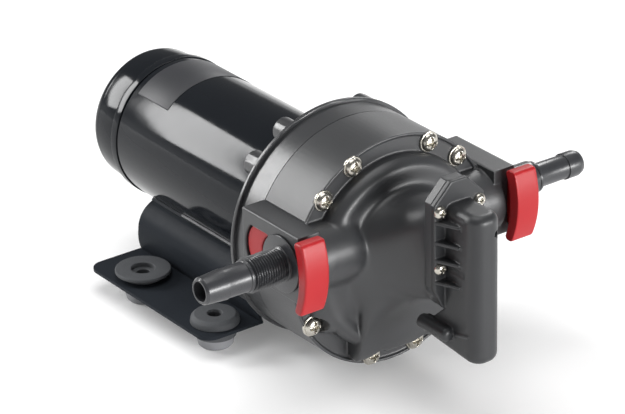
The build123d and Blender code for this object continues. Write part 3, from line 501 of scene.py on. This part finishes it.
# how far the head's joins flow: each pair is a ramp, from where there is none to where there is all
head = {"voxelMm": 0.42, "edgePasses": 2, "flowPasses": 170, "trianglesMost": 195000,
        "domeRadius": (46.4, 44.6), "domeFront": (-40.4, -38.4), "domeBack": (-3.0, -5.0),
        "passageZ": 18.5, "passageRadius": (2.4, 3.4),
        "apronSideX": 25.4, "apronSideWidth": (3.2, 1.8), "apronSideZ": (-20.0, -27.0),
        "apronX": (20.5, 23.0), "apronZ": (-16.0, -22.0), "apronKept": 0.92,
        "barrelZ": 12.0, "barrelRadius": (17.0, 14.5), "barrelX": (31.0, 34.0), "barrelKept": 0.85}
allOver = 0.8  # the weight where a whole skin is relaxed
pumpHead, spots, edges = skinOf("pump_head", "pumpHead", head["voxelMm"])
spots = relaxed(spots, edges, np.full(len(spots), allOver), head["edgePasses"], giveBack=0.5)
across, back, up = spots.T
# the dome flows; the ledge, the switch's face, the passage and the apron's upright corners stay crisp
flow = (ramp(np.hypot(across, up), *head["domeRadius"]) * ramp(back, *head["domeBack"])
        * ramp(back, *head["domeFront"]))
flow = flow * ramp(np.hypot(across, up - head["passageZ"]), *head["passageRadius"])
besideApron = (ramp(np.abs(np.abs(across) - head["apronSideX"]), *head["apronSideWidth"])
               * ramp(up, *head["apronSideZ"]))
onApron = head["apronKept"] * ramp(np.abs(across), *head["apronX"]) * ramp(up, *head["apronZ"])
flow = flow * (1 - np.maximum(besideApron, onApron))
onBarrel = ramp(np.hypot(back, up - head["barrelZ"]), *head["barrelRadius"]) * ramp(np.abs(across), *head["barrelX"])
flow = flow * (1 - head["barrelKept"] * onBarrel)
spots = relaxed(spots, edges, flow, head["flowPasses"])
finishSkin(pumpHead, spots, "pump_head", head["trianglesMost"])

switchShell = {"voxelMm": 0.34, "passes": 5, "trianglesMost": 150000}
shell, spots, edges = skinOf("switch_housing", "switchHousing", switchShell["voxelMm"])
spots = relaxed(spots, edges, np.full(len(spots), allOver), switchShell["passes"])
finishSkin(shell, spots, "switch_housing", switchShell["trianglesMost"])

clip = {"voxelMm": 0.3, "passes": 9, "trianglesMost": 60000}
for nodeName, pieceName in (("inlet_clip", "inletClip"), ("outlet_clip", "outletClip")):
    clipSkin, spots, edges = skinOf(nodeName, pieceName, clip["voxelMm"])
    spots = relaxed(spots, edges, np.full(len(spots), allOver), clip["passes"])
    finishSkin(clipSkin, spots, nodeName, clip["trianglesMost"])

# Fasteners

screwCircle = 52.0
screwAngles = (43.0, 65.5, 114.5, 137.0, 208.5, 256.0, 284.0, 331.5)


def panHead(settings, rows=26, columns=56):
    # radius out from the middle and angle round it: the crown drops as a power of the radius, and a cross of
    # two bars is let in, each deepest at the middle and fading to its ends; rim, neck and shank close it behind
    out = np.linspace(0, 1, rows)[:, None] * settings["radius"]
    angle = np.linspace(0, 2 * math.pi, columns, endpoint=False)[None]
    x, z = out * np.cos(angle), out * np.sin(angle)
    crown = settings["height"] * (1 - (out / settings["radius"]) ** settings["power"]) ** 0.5 + 0 * angle

    def bar(a, b, wallWidth=0.16, endSlope=0.9):
        across = np.clip((settings["slot"] - np.abs(b)) / wallWidth + 0.5, 0, 1)
        along = np.clip((settings["reach"] - np.abs(a)) / endSlope, 0, 1)
        return across * along

    middleRadius, middleSlope = settings["slot"] * 1.9, 0.3
    middle = np.clip((middleRadius - np.hypot(x, z)) / middleSlope, 0, 1)
    recess = np.maximum(np.maximum(bar(x, z), bar(z, x)), middle)
    y = -crown + settings["depth"] * recess
    top = np.stack([x, y + settings["seat"], z], -1)
    rim = np.stack([x[-1], np.full(columns, settings["seat"] + 0.25), z[-1]], -1)
    shank = settings["shank"] / settings["radius"]
    neck = rim * np.array([shank, 1, shank])
    end = np.stack([neck[:, 0], np.full(columns, settings["end"]), neck[:, 2]], -1)
    tip = np.stack([neck[:, 0] * 0.01, np.full(columns, settings["end"]), neck[:, 2] * 0.01], -1)
    points = np.concatenate([top.reshape(-1, 3), rim, neck, end, tip])
    return points, gridFaces(rows + 4, columns, wrapRows=False)


headScrew = {"radius": 4.4, "height": 2.6, "power": 2.8, "slot": 0.6, "reach": 2.9, "depth": 1.6, "seat": 0.2,
             "shank": 2.5, "end": 47.5}
points, faces = repeated(*panHead(headScrew), circlePlaces(screwCircle, screwAngles))
makePiece("headScrews", points, faces, "head_screws", smoothAngle=40)

washer = {"inner": 2.6, "outer": 5.0, "front": 0.2, "back": 1.2, "edge": 0.25}
ring = spin(roundedLine([(washer["front"], washer["inner"], 0), (washer["front"], washer["outer"], washer["edge"]),
                         (washer["back"], washer["outer"], 0), (washer["back"], washer["inner"], 0)], 3), 48)
points, faces = repeated(ring.reshape(-1, 3), gridFaces(*ring.shape[:2]), circlePlaces(screwCircle, screwAngles))
makePiece("headWashers", points, faces, "head_washers")

switchScrew = {"radius": 3.1, "height": 2.4, "power": 2.6, "slot": 0.32, "reach": 1.7, "depth": 1.1, "seat": -48.6,
               "shank": 1.5, "end": -40.8}
switchScrewPlaces = [(x, 0, z) for x in (-10.9, 10.9) for z in (40.0, 12.6)]
points, faces = repeated(*panHead(switchScrew, rows=20, columns=48), switchScrewPlaces)
makePiece("switchScrews", points, faces, "switch_screws", smoothAngle=40)
print("fasteners dressed")

# Port fittings

port = {"z": 12.0, "bore": 4.6, "columns": 112}
thread = {"start": 63.2, "end": 80.9, "crest": 8.33, "depth": 1.15, "pitch": 1.337, "rowsPerTurn": 12}


def fittingPiece(name, node, side, corners, threadSettings=None):
    # outline (out from the pump's middle, radius, rounding) turned about the port's axis, with a thread if asked
    line = roundedLine(corners, 4)
    if threadSettings:
        t = threadSettings
        turnRows = int((t["end"] - t["start"]) / t["pitch"] * t["rowsPerTurn"])
        run = np.stack([np.linspace(t["start"], t["end"], turnRows), np.full(turnRows, t["crest"])], 1)
        cut = len(line) - np.argmax(line[::-1, 0] <= t["start"])  # first point of the outline past the thread's start
        line = np.concatenate([line[:cut], run, line[cut:]])
    points = spin(line, port["columns"], "x", (0, 0, port["z"]))
    if threadSettings:
        # helix: the radius dips by the phase along the thread less the turn, run out softly at both ends
        angle = np.linspace(0, 1, port["columns"], endpoint=False)[None]
        along = line[:, 0:1]
        phase = (along / t["pitch"] - angle) % 1.0
        dip = t["depth"] * np.sin(math.pi * phase) ** 0.7
        fade = np.clip(along - t["start"], 0, 1) * np.clip(t["end"] - along, 0, 1)
        isRun = (along >= t["start"]) & (along <= t["end"]) & (line[:, 1:2] > t["crest"] - 0.01)
        scale = 1 - isRun * dip * fade / t["crest"]
        points[..., 1] *= scale
        points[..., 2] = port["z"] + (points[..., 2] - port["z"]) * scale
    points[..., 0] *= side
    return makePiece(name, points.reshape(-1, 3), gridFaces(*points.shape[:2]), node)


# part inside the socket: two grooves, the inner for the O-ring and the outer for the clip, then the flange
shank = [(40.2, port["bore"], 0), (40.2, 8.7, 0.2), (41.0, 9.5, 0.2), (46.0, 9.5, 0.1), (46.0, 7.3, 0.2),
         (49.0, 7.3, 0.2), (49.0, 9.5, 0.1), (57.7, 9.5, 0.1), (57.7, 7.6, 0.2), (61.0, 7.6, 0.2),
         (61.0, 9.5, 0.1), (62.0, 9.5, 0), (62.0, 13.5, 0.2), (62.9, 13.5, 0.3)]
fittingPiece("inletFitting", "inlet_fitting", -1, shank + [
    (62.9, thread["crest"], 0.2), (thread["end"], thread["crest"], 0), (81.2, 7.0, 0.2), (81.8, 7.0, 0.2),
    (81.9, 7.6, 0.2), (83.0, 7.6, 0.3), (83.2, 7.0, 0.2), (94.4, 6.9, 0.1), (94.5, 7.2, 0.1), (105.4, 6.4, 0.5),
    (106.6, 5.6, 0.3), (106.6, port["bore"], 0.3)], thread)
fittingPiece("outletFitting", "outlet_fitting", 1, shank + [
    (62.9, 8.3, 0.2), (80.6, 8.3, 0.3), (81.0, 7.0, 0.1), (81.8, 7.0, 0.1), (81.8, 7.5, 0.2), (83.2, 7.5, 0.3),
    (83.4, 5.9, 0.3), (100.4, 5.75, 0.1), (100.4, 6.35, 0.1), (107.0, 6.3, 1.6), (109.5, 5.4, 0.6),
    (109.5, port["bore"], 0.3)])
print("fittings dressed")

# Feet

foot = {"halfX": 50.0, "middleY": 102.0, "halfY": 30.0, "low": -62.0}
# outlines (height, radius, rounding): a bowl below the plate, and above it a cone in front or a disc behind
bowl = [(foot["low"], 3.25, 0.3), (foot["low"], 7.2, 0.8), (-60.6, 8.5, 0.5), (-56.5, 9.2, 0.2), (-56.4, 9.9, 0.3),
        (-51.6, 10.8, 0.3), (-51.6, 8.0, 0), (-50.0, 8.0, 0)]
cone = [(-49.95, 11.9, 0.4), (-47.2, 11.5, 1.2), (-45.6, 9.8, 1.0), (-45.6, 3.7, 0.4), (-47.0, 3.25, 0.5)]
disc = [(-49.95, 9.8, 0.3), (-47.5, 10.3, 0.4), (-47.3, 13.6, 0.4), (-45.6, 13.5, 0.6), (-45.6, 5.8, 0.5),
        (-48.0, 5.6, 0.4), (-48.0, 3.25, 0.3)]
for nodeName, sideX, sideY in (("foot_front_left", -1, -1), ("foot_front_right", 1, -1),
                               ("foot_rear_left", -1, 1), ("foot_rear_right", 1, 1)):
    turnedPiece(nodeName + "_rubber", bowl + (cone if sideY < 0 else disc), nodeName, 72, "z",
                (sideX * foot["halfX"], foot["middleY"] + sideY * foot["halfY"], 0))
print("feet dressed")

# Pieces whose CAD outline is right, with softened edges

softenedCopy("drive_housing", "driveHousing", 0.18)
softenedCopy("base_plate", "basePlate", 0.3)
softenedCopy("saddle_strips", "saddleStrips", 0.25)
softenedCopy("through_bolts", "throughBolts", 0.25)

# the switch's spring: a merged copy of its CAD piece, given a mesh of its own
spring = dressPiece(mergedCopy("switch_spring", "switchSpring"), "switch_spring")
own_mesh(spring)
print("housing, base, bolts and spring dressed")

# Floor, light and camera


def seenRays(tree):
    # 1 for rays from the camera, a reflection or a transmission, 0 for rays that only carry light
    lightPath = addNode(tree, "ShaderNodeLightPath").outputs
    direct = addNode(tree, "ShaderNodeMath", {"operation": "MAXIMUM"},
                     {0: lightPath["Is Camera Ray"], 1: lightPath["Is Glossy Ray"]})
    return addNode(tree, "ShaderNodeMath", {"operation": "MAXIMUM"},
                   {0: direct.outputs[0], 1: lightPath["Is Transmission Ray"]}).outputs[0]


# white paper, lifted a little where it is seen, so that it runs out into the white horizon
floorLook = {"reach": 6, "colour": "#f2f2f2", "rough": 0.9, "sheen": 0.1, "lift": 0.14}
reach = floorLook["reach"]
floorMesh = bpy.data.meshes.new("floor")
floorMesh.from_pydata([(-reach, -reach, 0), (reach, -reach, 0), (reach, reach, 0), (-reach, reach, 0)], [],
                      [(0, 1, 2, 3)])
floor = bpy.data.objects.new("floor", floorMesh)
bpy.context.scene.collection.objects.link(floor)
paper = bpy.data.materials.new("seamless_paper")
paper.use_nodes = True
tree = paper.node_tree
shader = tree.nodes["Principled BSDF"]
shader.inputs["Base Color"].default_value = toLinear(floorLook["colour"])
shader.inputs["Roughness"].default_value = floorLook["rough"]
shader.inputs["Specular IOR Level"].default_value = floorLook["sheen"]
lift = addNode(tree, "ShaderNodeMath", {"operation": "MULTIPLY", 1: floorLook["lift"]}, {0: seenRays(tree)})
shader.inputs["Emission Color"].default_value = (1, 1, 1, 1)
tree.links.new(lift.outputs[0], shader.inputs["Emission Strength"])
floorMesh.materials.append(paper)

# seen and reflected, the world is white at the horizon under a dim ceiling; as light it is an even grey
skyLook = {"horizon": 1.0, "ceiling": 0.16, "horizonTop": 0.02, "ceilingFoot": 0.16, "light": 0.30}
world = bpy.data.worlds.new("studio")
bpy.context.scene.world = world
world.use_nodes = True
tree = world.node_tree
background = tree.nodes["Background"]
skyPlace = addNode(tree, "ShaderNodeTexCoord").outputs["Generated"]
skyHeight = addNode(tree, "ShaderNodeSeparateXYZ", links={0: skyPlace}).outputs["Z"]
ceiling = addNode(tree, "ShaderNodeMapRange",
                  {"interpolation_type": "SMOOTHSTEP", "From Min": skyLook["horizonTop"],
                   "From Max": skyLook["ceilingFoot"], "To Min": skyLook["horizon"], "To Max": skyLook["ceiling"]},
                  {"Value": skyHeight})
sky = addNode(tree, "ShaderNodeMix", {"data_type": "FLOAT", 2: skyLook["light"]},
              {0: seenRays(tree), 3: ceiling.outputs[0]})
tree.links.new(sky.outputs[0], background.inputs["Strength"])
background.inputs["Color"].default_value = (1, 1, 1, 1)

softboxes = {
    # behind and left, its first side along the shaft: its reflection is the long pale strip on the can
    "stripBox": {"azimuth": 122, "elevation": 25.5, "distance": 3.0, "size": (0.64, 1.9), "radiance": 19.0},
    # low in front: lights the apron, the switch and the ends of the ports
    "frontBox": {"azimuth": -76, "elevation": 6.5, "distance": 2.6, "size": (1.8, 0.56), "radiance": 23.5},
    # behind and right, outside the can's reflections: sheen on the flat tops of the blocks and the switch
    "backBox": {"azimuth": 35, "elevation": 32, "distance": 3.0, "size": (0.8, 0.8), "radiance": 13.0},
    # overhead, wide and weak: the soft light on everything that faces straight up
    "topBox": {"azimuth": 90, "elevation": 86, "distance": 2.6, "size": (2.0, 2.0), "radiance": 2.8},
}
lookAt = Vector((0, 0, 0.06))
for name, box in softboxes.items():
    lamp = bpy.data.lights.new(name, "AREA")
    lamp.shape = "RECTANGLE"
    lamp.size, lamp.size_y = box["size"]
    lamp.energy = box["radiance"] * math.pi * lamp.size * lamp.size_y
    lampObject = bpy.data.objects.new(name, lamp)
    bpy.context.scene.collection.objects.link(lampObject)
    azimuth, elevation = math.radians(box["azimuth"]), math.radians(box["elevation"])
    level = math.cos(elevation)
    away = Vector((math.cos(azimuth) * level, math.sin(azimuth) * level, math.sin(elevation)))
    if name == "stripBox":
        across = (Vector((0, 1, 0)) - away * away.y).normalized()
    else:
        across = away.cross((0, 0, -1)).normalized()
    turn = Matrix((across, away.cross(across), away)).transposed().to_4x4()
    lampObject.matrix_world = Matrix.Translation(lookAt + away * box["distance"]) @ turn

bpy.context.scene.view_settings.view_transform = "Standard"
# the camera stands where the photograph was taken from: right, up and forward are its three directions
eye = {"place": (-0.87816, -1.24995, 0.77818), "right": (0.803830, -0.594572, -0.018327),
       "up": (0.270839, 0.338371, 0.901193), "forward": (0.52963, 0.72937, -0.43303), "lens": 204.206}
camera = bpy.data.cameras.new("photoCamera")
camera.lens = eye["lens"]
camera.sensor_width = 36.0
camera.sensor_fit = "HORIZONTAL"
camera.clip_end = 50
cameraObject = bpy.data.objects.new("photoCamera", camera)
bpy.context.scene.collection.objects.link(cameraObject)
turn = Matrix((eye["right"], eye["up"], [-value for value in eye["forward"]])).transposed().to_4x4()
cameraObject.matrix_world = Matrix.Translation(eye["place"]) @ turn
bpy.context.scene.camera = cameraObject
print("stage set")
